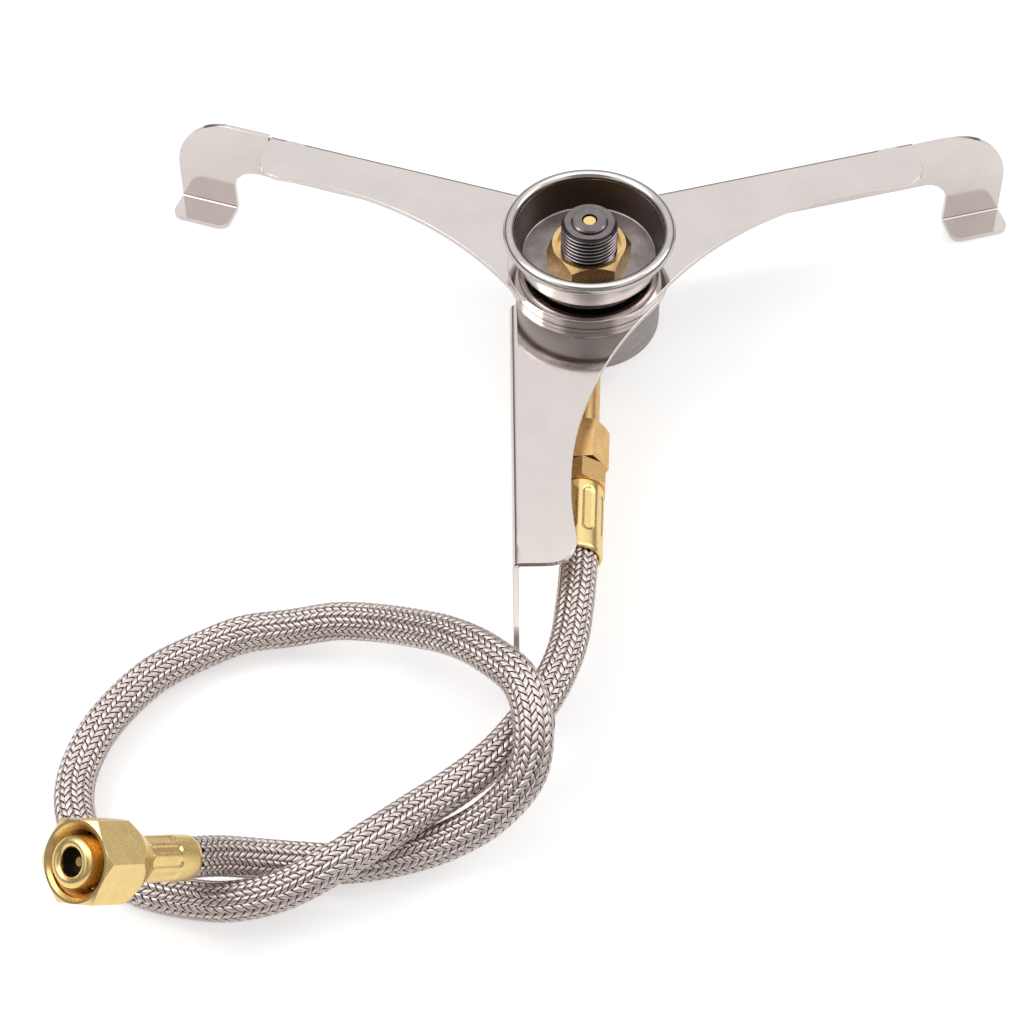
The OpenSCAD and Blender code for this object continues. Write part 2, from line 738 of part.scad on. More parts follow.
// Round wire wound in a helix between the spring seat and the pin's flange
module valve_spring() {
    steps = 14;
    sides = 6;
    pitch = (spring_h - spring_wire) / spring_turns;
    color(stainless) translate([0, 0, spring_z + spring_wire / 2]) tube_skin([
        for (i = [0:spring_turns * steps], k = [0:sides - 1])
        let (turn = 360 * i / steps, a = 360 * k / sides, r = spring_mean_r + spring_wire / 2 * cos(a))
        [r * cos(turn), r * sin(turn), pitch * i / steps + spring_wire / 2 * sin(a)]
    ], sides);
}

module spring_seat() {
    color(brass) difference() {
        translate([0, 0, seat_z]) cylinder(r = chamber_r - seat_gap, h = seat_h, $fn = small_fn);
        cylinder(r = seat_hole_r, h = stem_top, $fn = small_fn);
    }
}

module gas_pipe() {
    color(brass) on_gas_line(pipe_from) difference() {
        cylinder(r = pipe_r, h = pipe_to - pipe_from, $fn = small_fn);
        translate([0, 0, -cut]) cylinder(r = passage_r, h = pipe_to, $fn = small_fn);
    }
}

module pipe_coupler() {
    color(brass) on_gas_line(coupler_at) difference() {
        rotate(coupler_turn)
            chamfered_hex(coupler_flats, coupler_length, coupler_chamfer_angle, true, false);
        translate([0, 0, -cut]) cylinder(r = pipe_r, h = pipe_socket + cut, $fn = small_fn);
        cylinder(r = passage_r, h = coupler_length, $fn = small_fn);
        translate([0, 0, coupler_length - tail_thread_length])
            cylinder(r = tail_thread_r + seat_gap, h = tail_thread_length + cut, $fn = small_fn);
    }
}

module coupler_gasket() {
    color(black_rubber) on_gas_line(coupler_end) difference() {
        cylinder(r = coupler_flats / 2 - gasket_inset, h = gasket_t, $fn = small_fn);
        translate([0, 0, -cut])
            cylinder(r = tail_thread_r + seat_gap, h = gasket_t + 2 * cut, $fn = small_fn);
    }
}

module hose_tail() {
    thread_length = tail_thread_length + gasket_t - fit_gap;
    color(brass) on_gas_line(tail_hex_from) difference() {
        union() {
            translate([0, 0, -thread_length])
                cylinder(r = tail_thread_r, h = thread_length + cut, $fn = small_fn);
            rotate(90) hex_bar(tail_flats, tail_hex_length);
            translate([0, 0, tail_hex_length - cut])
                cylinder(r = barb_r, h = near_ferrule_length - barb_short + cut, $fn = small_fn);
        }
        translate([0, 0, -thread_length - cut])
            cylinder(r = passage_r, h = hose_from, $fn = small_fn);
    }
}

module ferrule_near() {
    color(pale_brass) on_gas_line(hose_from) mirror([0, 0, 1])
        ferrule(near_ferrule_length, near_ferrule_r, near_crimp_flats, 8,
            near_mouth_band, near_ferrule_length - near_back_band);
}

// The hose follows the near ferrule when the gas line is moved or lengthened
module hose() {
    first = [0, -hose_from, line_z];
    route = [for (i = [0:len(HOSE_POINTS) - 1]) i == 0 ? first : HOSE_POINTS[i]];
    color(braid) swept_tube(route, hose_r, hose_sides, start_direction, fitting_direction);
}

module ferrule_far() {
    color(pale_brass) on_fitting(0) rotate(union_turn)
        ferrule(far_ferrule_length, far_ferrule_r, far_crimp_flats, 10,
            far_mouth_band, far_ferrule_length);
}

// Barb inside the ferrule, collar, neck, sealing flange and nose in one turning
module nipple() {
    color(pale_brass) on_fitting(0) difference() {
        union() {
            translate([0, 0, barb_short])
                cylinder(r = barb_r, h = collar_at - barb_short + cut, $fn = small_fn);
            translate([0, 0, collar_at]) cylinder(r = collar_r, h = collar_length, $fn = small_fn);
            translate([0, 0, collar_at])
                cylinder(r = neck_r, h = flange_at - collar_at + cut, $fn = small_fn);
            translate([0, 0, flange_at])
                cylinder(r = nipple_flange_r, h = nipple_flange_h, $fn = small_fn);
            translate([0, 0, flange_at]) cylinder(r = nose_r, h = nose_end - flange_at, $fn = small_fn);
        }
        cylinder(r = passage_r, h = nose_end, $fn = small_fn);
        translate([0, 0, depressor_disc_at])
            cylinder(r = nose_bore_r, h = nose_bore_depth + cut, $fn = small_fn);
    }
}

// Pin on a small drilled disc that sits at the bottom of the nose's mouth
module depressor_pin() {
    color(pale_brass) on_fitting(depressor_disc_at) difference() {
        union() {
            cylinder(r = nose_bore_r - seat_gap, h = depressor_disc_h, $fn = small_fn);
            cylinder(r = depressor_r, h = depressor_tip - depressor_disc_at, $fn = small_fn);
        }
        for (a = [0:120:240]) rotate(a) translate([(nose_bore_r + depressor_r) / 2, 0, -cut])
            cylinder(r = disc_hole_r, h = 3 * cut, $fn = 24);
    }
}

module union_nut() {
    corner = union_flats / 2 / cos(30);
    union_face_z = union_length - union_face_chamfer;
    color(pale_brass) on_fitting(union_at) rotate(union_turn) difference() {
        intersection() {
            hex_bar(union_flats, union_length);
            union() {
                cylinder(r1 = union_small_r, r2 = corner, h = union_shoulder, $fn = round_fn);
                translate([0, 0, union_shoulder])
                    cylinder(r = corner, h = union_face_z - union_shoulder, $fn = round_fn);
                translate([0, 0, union_face_z])
                    cylinder(r1 = corner, r2 = corner - 2 * union_face_chamfer,
                        h = union_face_chamfer, $fn = round_fn);
            }
        }
        translate([0, 0, -cut]) cylinder(r = neck_r + turn_gap, h = union_length, $fn = small_fn);
        translate([0, 0, union_wall]) cylinder(r = union_thread_r, h = union_length, $fn = small_fn);
        translate([0, 0, union_face_z])
            cylinder(r1 = union_thread_r, r2 = union_mouth_r,
                h = union_face_chamfer + mesh_slack, $fn = small_fn);
    }
}

leg_front();
leg_left();
leg_right();
housing();
base_screw();
valve_block();
pivot_bush();
thrust_washer();
wave_washer();
valve_cup();
stem_nut();
valve_stem();
stem_seal();
valve_pin();
valve_spring();
spring_seat();
gas_pipe();
pipe_coupler();
coupler_gasket();
hose_tail();
ferrule_near();
hose();
ferrule_far();
nipple();
depressor_pin();
union_nut();
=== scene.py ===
import math

import bmesh
import bpy
import numpy as np
from mathutils import Matrix, Vector


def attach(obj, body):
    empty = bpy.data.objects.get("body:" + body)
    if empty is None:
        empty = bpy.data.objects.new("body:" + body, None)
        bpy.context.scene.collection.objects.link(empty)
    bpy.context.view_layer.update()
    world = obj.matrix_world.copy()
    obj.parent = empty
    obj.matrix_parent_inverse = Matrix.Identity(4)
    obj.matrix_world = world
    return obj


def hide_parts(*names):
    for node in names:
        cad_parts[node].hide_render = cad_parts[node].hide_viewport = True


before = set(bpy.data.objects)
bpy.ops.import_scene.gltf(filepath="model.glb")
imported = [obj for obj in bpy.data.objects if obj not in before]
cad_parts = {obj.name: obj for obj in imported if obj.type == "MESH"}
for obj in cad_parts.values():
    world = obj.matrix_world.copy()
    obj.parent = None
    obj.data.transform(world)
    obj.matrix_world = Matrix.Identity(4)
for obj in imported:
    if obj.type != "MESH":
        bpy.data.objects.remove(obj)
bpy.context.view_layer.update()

# ---------------------------------------------------------------- studio
# The camera looks down on the stand from the front at about fifty degrees.
# A pale floor and a soft white surround light it, with two large lamps for
# shape.  Reflections also find a dim front and a bright panel overhead.
scene = bpy.context.scene
scene.view_settings.view_transform = "Standard"

camera = bpy.data.objects.new("camera", bpy.data.cameras.new("camera"))
camera.location = (0.00245, -0.37946, 0.40804)
camera.rotation_euler = (math.radians(39.50), math.radians(0.292), math.radians(2.361))
camera.data.sensor_width = 36
camera.data.lens = 95.51
camera.data.clip_start = 0.01
scene.collection.objects.link(camera)
scene.camera = camera


def wire(tree, source, target):
    tree.links.new(source, target)


def add_node(tree, kind, **values):
    node = tree.nodes.new(kind)
    for key, value in values.items():
        setattr(node, key, value)
    return node


def seen_in_picture(tree):
    """1 for rays from the camera and for reflections, 0 for plain light."""
    path = add_node(tree, "ShaderNodeLightPath")
    first = add_node(tree, "ShaderNodeMath", operation="MAXIMUM")
    second = add_node(tree, "ShaderNodeMath", operation="MAXIMUM")
    wire(tree, path.outputs["Is Camera Ray"], first.inputs[0])
    wire(tree, path.outputs["Is Glossy Ray"], first.inputs[1])
    wire(tree, first.outputs[0], second.inputs[0])
    wire(tree, path.outputs["Is Transmission Ray"], second.inputs[1])
    return second.outputs[0]


def floor_paint():
    material = bpy.data.materials.new("floor_paint")
    material.use_nodes = True
    tree = material.node_tree
    paint = tree.nodes["Principled BSDF"]
    paint.inputs["Base Color"].default_value = (0.86, 0.86, 0.86, 1)
    paint.inputs["Roughness"].default_value = 0.7
    paint.inputs["Specular IOR Level"].default_value = 0.1
    paint.inputs["Emission Color"].default_value = (1, 1, 1, 1)
    lift = add_node(tree, "ShaderNodeMath", operation="MULTIPLY")
    lift.inputs[1].default_value = 0.3
    wire(tree, seen_in_picture(tree), lift.inputs[0])
    path = add_node(tree, "ShaderNodeLightPath")
    more = add_node(tree, "ShaderNodeMath", operation="MULTIPLY_ADD")
    more.inputs[1].default_value = 0.17
    wire(tree, path.outputs["Is Camera Ray"], more.inputs[0])
    wire(tree, lift.outputs[0], more.inputs[2])
    wire(tree, more.outputs[0], paint.inputs["Emission Strength"])
    return material


floor_mesh = bmesh.new()
bmesh.ops.create_grid(floor_mesh, x_segments=1, y_segments=1, size=3)
bmesh.ops.translate(floor_mesh, verts=floor_mesh.verts, vec=(0, 0, -0.0003))
floor_data = bpy.data.meshes.new("studio_floor")
floor_mesh.to_mesh(floor_data)
floor_mesh.free()
floor_data.materials.append(floor_paint())
studio_floor = bpy.data.objects.new("studio_floor", floor_data)
scene.collection.objects.link(studio_floor)


def surround():
    world = bpy.data.worlds.new("soft_surround")
    scene.world = world
    world.use_nodes = True
    tree = world.node_tree
    tree.nodes.clear()
    out = add_node(tree, "ShaderNodeOutputWorld")
    light = add_node(tree, "ShaderNodeBackground")
    light.inputs["Color"].default_value = (1, 0.99, 0.985, 1)
    light.inputs["Strength"].default_value = 0.62
    shown = add_node(tree, "ShaderNodeBackground")
    shown.inputs["Strength"].default_value = 1
    blend = add_node(tree, "ShaderNodeMixShader")
    wire(tree, seen_in_picture(tree), blend.inputs[0])
    wire(tree, light.outputs[0], blend.inputs[1])
    wire(tree, shown.outputs[0], blend.inputs[2])
    wire(tree, blend.outputs[0], out.inputs["Surface"])
    # Reflections show a dim band near the floor and a dim place at the front
    where = add_node(tree, "ShaderNodeTexCoord")
    apart = add_node(tree, "ShaderNodeSeparateXYZ")
    wire(tree, where.outputs["Generated"], apart.inputs[0])
    low = add_node(tree, "ShaderNodeMapRange", interpolation_type="SMOOTHSTEP")
    low.inputs["From Min"].default_value = 0.15
    low.inputs["From Max"].default_value = 0.66
    low.inputs["To Min"].default_value = 0.17
    low.inputs["To Max"].default_value = 1
    wire(tree, apart.outputs["Z"], low.inputs["Value"])
    toward = add_node(tree, "ShaderNodeVectorMath", operation="DOT_PRODUCT")
    toward.inputs[1].default_value = (0.03, -0.64, 0.77)
    wire(tree, where.outputs["Generated"], toward.inputs[0])
    front = add_node(tree, "ShaderNodeMapRange", interpolation_type="SMOOTHSTEP")
    front.inputs["From Min"].default_value = 0.86
    front.inputs["From Max"].default_value = 0.95
    front.inputs["To Min"].default_value = 1
    front.inputs["To Max"].default_value = 0.3
    wire(tree, toward.outputs["Value"], front.inputs["Value"])
    grey = add_node(tree, "ShaderNodeMath", operation="MULTIPLY")
    wire(tree, low.outputs[0], grey.inputs[0])
    wire(tree, front.outputs[0], grey.inputs[1])
    # and a brighter panel overhead
    upward = add_node(tree, "ShaderNodeVectorMath", operation="DOT_PRODUCT")
    upward.inputs[1].default_value = (0, 0.1, 0.995)
    wire(tree, where.outputs["Generated"], upward.inputs[0])
    panel = add_node(tree, "ShaderNodeMapRange", interpolation_type="SMOOTHSTEP")
    panel.inputs["From Min"].default_value = 0.82
    panel.inputs["From Max"].default_value = 0.93
    panel.inputs["To Min"].default_value = 1
    panel.inputs["To Max"].default_value = 2.0
    wire(tree, upward.outputs["Value"], panel.inputs["Value"])
    lit = add_node(tree, "ShaderNodeMath", operation="MULTIPLY")
    wire(tree, grey.outputs[0], lit.inputs[0])
    wire(tree, panel.outputs[0], lit.inputs[1])
    path = add_node(tree, "ShaderNodeLightPath")
    plain = add_node(tree, "ShaderNodeMix", data_type="FLOAT")
    plain.inputs[3].default_value = 1
    wire(tree, path.outputs["Is Camera Ray"], plain.inputs[0])
    wire(tree, lit.outputs[0], plain.inputs[2])
    wire(tree, plain.outputs[0], shown.inputs["Color"])


surround()


def soft_lamp(name, place, size, watts):
    lamp = bpy.data.lights.new(name, "AREA")
    lamp.shape = "SQUARE"
    lamp.size = size
    lamp.energy = watts
    obj = bpy.data.objects.new(name, lamp)
    obj.location = place
    obj.rotation_euler = Vector(place).to_track_quat("Z", "Y").to_euler()
    scene.collection.objects.link(obj)


soft_lamp("lamp_left", (-0.75, -0.05, 0.95), 0.55, 3.2)
soft_lamp("lamp_right", (0.8, 0.25, 0.75), 0.5, 2.0)

# ---------------------------------------------------------------- hose
# Rubber hose in a sleeve of braided stainless wire, 7.2 mm across.  Sixteen
# columns of flat wire bundles run round it, leaning left and right in turn,
# with small dark gaps between them.  It is crimped into a ferrule at each end.
MM = 0.001
HOSE_ROUTE = [
    (0, -66, 14), (-0.5, -76, 14), (-1.5, -85, 13.5), (-4, -93.5, 13.5),
    (-8, -101.5, 13.2), (-13.5, -109, 12.2), (-20, -115, 11.4), (-27, -120.5, 11),
    (-33.5, -126.5, 11.8), (-41, -132, 10.8), (-49, -135.5, 8.2), (-57.5, -137, 6.5),
    (-66, -135.5, 4.5), (-74.5, -133, 4), (-82, -128, 4), (-87, -120.5, 4),
    (-88.5, -112, 4), (-86.5, -103, 4.5), (-82.5, -95, 4.5), (-77, -88, 4.5),
    (-70, -82.5, 4), (-62, -78.5, 4.5), (-53, -77, 5), (-44.5, -77, 7.5),
    (-36.5, -79, 10), (-29, -83, 14), (-22.5, -87.5, 18), (-16, -93, 20.9),
    (-9.5, -100, 22), (-7, -108, 20), (-8, -115, 15.2), (-14, -120, 9.6),
    (-22, -123.2, 5.8), (-30.5, -125.5, 4.2), (-39, -127, 3.8), (-47, -127.2, 4.2),
    (-54, -128.3, 6.6), (-60.2, -130.7, 10.9), (-64.985, -134.793, 16.465),
]
FITTING_AXIS = (-0.52865, -0.48783, 0.69466)
HOSE_LENGTH = 339.7
HOSE_RADIUS = 3.6
BRAID_COLUMNS = 16
BRAID_PITCH = 1.47
BUNDLE_RUN = 1.3
BUNDLE_REACH = 0.61
BUNDLE_DIP = 0.42
BUNDLE_CROWN = 0.11
BUNDLE_WIDTH = 0.84
BUNDLE_TAPER = 0.26
RUBBER_RADIUS = 3.05
SLEEVED = 0.8


def tint(red, green, blue):
    """A colour written as 0 to 255, as the shader wants it."""
    def one(c):
        c = c / 255
        return c / 12.92 if c <= 0.04045 else ((c + 0.055) / 1.055) ** 2.4
    return (one(red), one(green), one(blue), 1)


def hose_curve(per_stretch):
    """Points of the smooth curve through the route, in metres."""
    p = [np.array(q, float) for q in HOSE_ROUTE]
    p = [2 * p[0] - p[1]] + p + [2 * p[-1] - p[-2]]
    curve = []
    for a, b, c, d in zip(p, p[1:], p[2:], p[3:]):
        for i in range(per_stretch):
            t = i / per_stretch
            curve.append(0.5 * (2 * b + (c - a) * t + (2 * a - 5 * b + 4 * c - d) * t * t
                                + (3 * b - 3 * c + d - a) * t ** 3))
    curve.append(p[-2])
    return np.array(curve) * MM


def bend_along_hose(mesh):
    """Bends a straight sleeve that stands on +Z along the hose's route."""
    line = hose_curve(16)
    step = np.linalg.norm(np.diff(line, axis=0), axis=1)
    along = np.concatenate([[0], np.cumsum(step)])
    tangent = np.gradient(line, along, axis=0)
    tangent[0] = (0, -1, 0)
    tangent[-1] = FITTING_AXIS
    tangent /= np.linalg.norm(tangent, axis=1)[:, None]
    side = np.zeros_like(line)
    side[0] = (1, 0, 0)
    for i in range(1, len(line)):
        side[i] = side[i - 1] - np.dot(side[i - 1], tangent[i]) * tangent[i]
        side[i] /= np.linalg.norm(side[i])
    other = np.cross(tangent, side)
    co = np.zeros(len(mesh.vertices) * 3)
    mesh.vertices.foreach_get("co", co)
    co = co.reshape(-1, 3)
    s = co[:, 2] * along[-1] / (HOSE_LENGTH * MM)
    inside = np.clip(s, 0, along[-1])

    def at(values):
        return np.stack([np.interp(inside, along, values[:, k]) for k in range(3)], 1)

    place = (at(line) + at(side) * co[:, :1] + at(other) * co[:, 1:2]
             + at(tangent) * (s - inside)[:, None])
    mesh.vertices.foreach_set("co", place.reshape(-1))
    mesh.update()


def wire_bundle(bm, lean):
    """One flat bundle of wires, arched over the sleeve and tucked in at its ends."""
    width = 2 * math.pi / BRAID_COLUMNS
    made = bmesh.ops.create_grid(bm, x_segments=6, y_segments=4, size=0.5, calc_uvs=True)
    for v in made["verts"]:
        u = 2 * BUNDLE_REACH * v.co.x
        w = 2 * v.co.y
        angle = u * width
        end = abs(u / BUNDLE_REACH)
        radius = HOSE_RADIUS - BUNDLE_DIP * end ** 3 - BUNDLE_CROWN * w * w
        slim = BUNDLE_WIDTH - BUNDLE_TAPER * end ** 3
        height = lean * u * BUNDLE_RUN + w * 0.5 * BRAID_PITCH * slim
        v.co = Vector((radius * math.cos(angle), radius * math.sin(angle), height)) * MM
    return made["verts"]


def braided_sleeve():
    bm = bmesh.new()
    bm.loops.layers.uv.new("bundle")
    wire_bundle(bm, 1)
    second = wire_bundle(bm, -1)
    bmesh.ops.rotate(bm, verts=second, cent=(0, 0, 0),
                     matrix=Matrix.Rotation(2 * math.pi / BRAID_COLUMNS, 3, "Z"))
    bmesh.ops.translate(bm, verts=second, vec=(0, 0, 0.5 * BRAID_PITCH * MM))
    pair = bm.verts[:] + bm.edges[:] + bm.faces[:]
    for turn in range(1, BRAID_COLUMNS // 2):
        copy = bmesh.ops.duplicate(bm, geom=pair)["geom"]
        bmesh.ops.rotate(bm, cent=(0, 0, 0),
                         verts=[g for g in copy if isinstance(g, bmesh.types.BMVert)],
                         matrix=Matrix.Rotation(4 * math.pi * turn / BRAID_COLUMNS, 3, "Z"))
    for f in bm.faces:
        f.smooth = True
    ring = bpy.data.meshes.new("ring")
    bm.to_mesh(ring)
    bm.free()
    holder = bpy.data.objects.new("ring", ring)
    scene.collection.objects.link(holder)
    rows = holder.modifiers.new("rows", "ARRAY")
    rows.use_relative_offset = False
    rows.use_constant_offset = True
    rows.constant_offset_displace = (0, 0, BRAID_PITCH * MM)
    rows.count = int((HOSE_LENGTH + 2 * SLEEVED) / BRAID_PITCH) - 1
    whole = bpy.data.meshes.new_from_object(
        holder.evaluated_get(bpy.context.evaluated_depsgraph_get()))
    bpy.data.objects.remove(holder)
    bm = bmesh.new()
    bm.from_mesh(whole)
    bmesh.ops.translate(bm, verts=bm.verts, vec=(0, 0, (BRAID_PITCH / 2 - SLEEVED) * MM))
    wires = len(bm.faces)
    # The rubber inside, seen only through the gaps
    sides = 20
    tube = bmesh.ops.create_circle(bm, segments=sides, radius=RUBBER_RADIUS * MM)["verts"]
    bmesh.ops.translate(bm, verts=tube, vec=(0, 0, -SLEEVED * MM))
    edges = list({e for v in tube for e in v.link_edges})
    stretches = 150
    for _ in range(stretches):
        grown = bmesh.ops.extrude_edge_only(bm, edges=edges)["geom"]
        edges = [g for g in grown if isinstance(g, bmesh.types.BMEdge)]
        bmesh.ops.translate(bm, verts=[g for g in grown if isinstance(g, bmesh.types.BMVert)],
                            vec=(0, 0, (HOSE_LENGTH + 2 * SLEEVED) / stretches * MM))
    bm.faces.ensure_lookup_table()
    rubber = bm.faces[wires:]
    bmesh.ops.recalc_face_normals(bm, faces=rubber)
    for f in rubber:
        f.material_index = 1
        f.smooth = True
    mesh = bpy.data.meshes.new("braided_hose")
    bm.to_mesh(mesh)
    bm.free()
    return mesh


def surface_group():
    """Rolled or drawn metal: slow patches of tone and a fine grain."""
    group = bpy.data.node_groups.new("metal_surface", "ShaderNodeTree")
    face = group.interface
    face.new_socket("Vector", in_out="INPUT", socket_type="NodeSocketVector")
    for name in ("Light", "Dark"):
        face.new_socket(name, in_out="INPUT", socket_type="NodeSocketColor")
    for name in ("Patch Scale", "Grain Scale", "Patch Amount", "Rough Low", "Rough High"):
        face.new_socket(name, in_out="INPUT", socket_type="NodeSocketFloat")
    face.new_socket("Color", in_out="OUTPUT", socket_type="NodeSocketColor")
    face.new_socket("Roughness", in_out="OUTPUT", socket_type="NodeSocketFloat")
    face.new_socket("Height", in_out="OUTPUT", socket_type="NodeSocketFloat")
    start = add_node(group, "NodeGroupInput")
    end = add_node(group, "NodeGroupOutput")
    patch = add_node(group, "ShaderNodeTexNoise")
    patch.inputs["Detail"].default_value = 4
    patch.inputs["Roughness"].default_value = 0.6
    wire(group, start.outputs["Vector"], patch.inputs["Vector"])
    wire(group, start.outputs["Patch Scale"], patch.inputs["Scale"])
    grain = add_node(group, "ShaderNodeTexNoise")
    grain.inputs["Detail"].default_value = 2
    wire(group, start.outputs["Vector"], grain.inputs["Vector"])
    wire(group, start.outputs["Grain Scale"], grain.inputs["Scale"])
    spread = add_node(group, "ShaderNodeMapRange")
    spread.inputs["From Min"].default_value = 0.35
    spread.inputs["From Max"].default_value = 0.68
    wire(group, patch.outputs[0], spread.inputs["Value"])
    share = add_node(group, "ShaderNodeMath", operation="MULTIPLY")
    wire(group, spread.outputs[0], share.inputs[0])
    wire(group, start.outputs["Patch Amount"], share.inputs[1])
    colour = add_node(group, "ShaderNodeMix", data_type="RGBA")
    wire(group, share.outputs[0], colour.inputs[0])
    wire(group, start.outputs["Light"], colour.inputs[6])
    wire(group, start.outputs["Dark"], colour.inputs[7])
    wire(group, colour.outputs[2], end.inputs["Color"])
    both = add_node(group, "ShaderNodeMath", operation="MULTIPLY_ADD")
    wire(group, grain.outputs[0], both.inputs[0])
    both.inputs[1].default_value = 0.5
    half = add_node(group, "ShaderNodeMath", operation="MULTIPLY")
    wire(group, patch.outputs[0], half.inputs[0])
    half.inputs[1].default_value = 0.5
    wire(group, half.outputs[0], both.inputs[2])
    rough = add_node(group, "ShaderNodeMapRange")
    rough.inputs["From Min"].default_value = 0.35
    rough.inputs["From Max"].default_value = 0.65
    wire(group, both.outputs[0], rough.inputs["Value"])
    wire(group, start.outputs["Rough Low"], rough.inputs["To Min"])
    wire(group, start.outputs["Rough High"], rough.inputs["To Max"])
    wire(group, rough.outputs[0], end.inputs["Roughness"])
    wire(group, both.outputs[0], end.inputs["Height"])
    return group


METAL_SURFACE = surface_group()


def metal(name, light, dark, rough, patch=300, grain=5000, amount=0.6, relief=0.02,
          stretch=(1, 1, 1), metallic=1.0):
    """A metal finish: its two tones, its range of roughness and its grain."""
    material = bpy.data.materials.new(name)
    material.use_nodes = True
    tree = material.node_tree
    shader = tree.nodes["Principled BSDF"]
    shader.inputs["Metallic"].default_value = metallic
    where = add_node(tree, "ShaderNodeTexCoord")
    mapping = add_node(tree, "ShaderNodeMapping")
    mapping.inputs["Scale"].default_value = stretch
    wire(tree, where.outputs["Object"], mapping.inputs["Vector"])
    surface = add_node(tree, "ShaderNodeGroup", node_tree=METAL_SURFACE)
    wire(tree, mapping.outputs[0], surface.inputs["Vector"])
    surface.inputs["Light"].default_value = tint(*light)
    surface.inputs["Dark"].default_value = tint(*dark)
    surface.inputs["Patch Scale"].default_value = patch
    surface.inputs["Grain Scale"].default_value = grain
    surface.inputs["Patch Amount"].default_value = amount
    surface.inputs["Rough Low"].default_value = rough[0]
    surface.inputs["Rough High"].default_value = rough[1]
    wire(tree, surface.outputs["Color"], shader.inputs["Base Color"])
    wire(tree, surface.outputs["Roughness"], shader.inputs["Roughness"])
    bump = add_node(tree, "ShaderNodeBump")
    bump.inputs["Strength"].default_value = 1
    bump.inputs["Distance"].default_value = relief * MM
    wire(tree, surface.outputs["Height"], bump.inputs["Height"])
    wire(tree, bump.outputs[0], shader.inputs["Normal"])
    return material


def braid_wire():
    """Stainless wire laid side by side: five ridges across each bundle."""
    material = metal("braid_wire", (220, 208, 203), (170, 156, 149), (0.10, 0.20),
                     patch=900, grain=6000, amount=0.6)
    tree = material.node_tree
    shader = tree.nodes["Principled BSDF"]
    layout = add_node(tree, "ShaderNodeUVMap", uv_map="bundle")
    apart = add_node(tree, "ShaderNodeSeparateXYZ")
    wire(tree, layout.outputs[0], apart.inputs[0])
    turn = add_node(tree, "ShaderNodeMath", operation="MULTIPLY")
    turn.inputs[1].default_value = 5 * math.pi
    wire(tree, apart.outputs["Y"], turn.inputs[0])
    wave = add_node(tree, "ShaderNodeMath", operation="SINE")
    wire(tree, turn.outputs[0], wave.inputs[0])
    ridge = add_node(tree, "ShaderNodeMath", operation="ABSOLUTE")
    wire(tree, wave.outputs[0], ridge.inputs[0])
    bump = add_node(tree, "ShaderNodeBump")
    bump.inputs["Strength"].default_value = 0.7
    bump.inputs["Distance"].default_value = 0.035 * MM
    wire(tree, ridge.outputs[0], bump.inputs["Height"])
    wire(tree, bump.outputs[0], shader.inputs["Normal"])
    return material


def dark_rubber(name):
    return metal(name, (30, 27, 26), (16, 15, 14), (0.6, 0.8), patch=500, grain=3000,
                 relief=0.03, metallic=0.0)


hose_mesh = braided_sleeve()
bend_along_hose(hose_mesh)
hose_mesh.materials.append(braid_wire())
hose_mesh.materials.append(dark_rubber("hose_rubber"))
braided_hose = bpy.data.objects.new("braided_hose", hose_mesh)
scene.collection.objects.link(braided_hose)
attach(braided_hose, "base")
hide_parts("hose")

# ---------------------------------------------------------------- housing
# Turned steel cup under the legs, satin grey, with a rounded lower edge.  The
# brass valve block sits inside it and a slotted screw holds it from below.
def dress(node, material):
    """Gives a CAD node its finish."""
    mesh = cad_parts[node].data
    mesh.materials.clear()
    mesh.materials.append(material)


SATIN_GREY = metal("satin_grey", (168, 161, 160), (140, 133, 132), (0.34, 0.46), patch=260,
                   grain=2600, stretch=(1, 1, 6), relief=0.015)
LINE_BRASS = metal("line_brass", (242, 200, 136), (212, 166, 102), (0.24, 0.38), patch=420,
                   grain=3800, amount=0.5, relief=0.02)
BASE_STEEL = metal("screw_steel", (196, 190, 186), (160, 154, 150), (0.25, 0.4))
dress("housing", SATIN_GREY)
dress("valve_block", LINE_BRASS)
dress("base_screw", BASE_STEEL)

# ---------------------------------------------------------------- legs
# Three legs pressed from 1 mm stainless sheet: a flat arm with a hub disc, a
# web folded down along one edge and a foot folded in.  Cut edges are tumbled,
# which leaves a small round.  The front leg is keyed, the others turn.
LEG_EDGE = 0.15
CALM_EDGE = 0.45
SHEET_STEEL = metal("sheet_steel", (222, 214, 210), (208, 199, 195), (0.07, 0.13), patch=120,
                    grain=2200, amount=0.4, relief=0.002)


def add_piece(name, mesh, materials, body, node):
    """Puts a finished mesh in the scene in place of its CAD node."""
    for material in materials:
        mesh.materials.append(material)
    piece = bpy.data.objects.new(name, mesh)
    scene.collection.objects.link(piece)
    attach(piece, body)
    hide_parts(node)
    return piece


def round_edges(piece, width, segments=2, angle=28, marked=False):
    """A small round on every sharp edge, as tumbling or turning leaves it.
    With marked, only the edges that carry a bevel weight.  The overlap clamp
    holds the whole piece to what its tightest corner allows, which on the
    hexagons is next to nothing, whatever the width."""
    bevel = piece.modifiers.new("edge_round", "BEVEL")
    bevel.width = width * MM
    bevel.segments = segments
    bevel.profile = 0.5
    bevel.limit_method = "WEIGHT" if marked else "ANGLE"
    bevel.angle_limit = math.radians(angle)
    bevel.harden_normals = not marked
    bevel.use_clamp_overlap = True


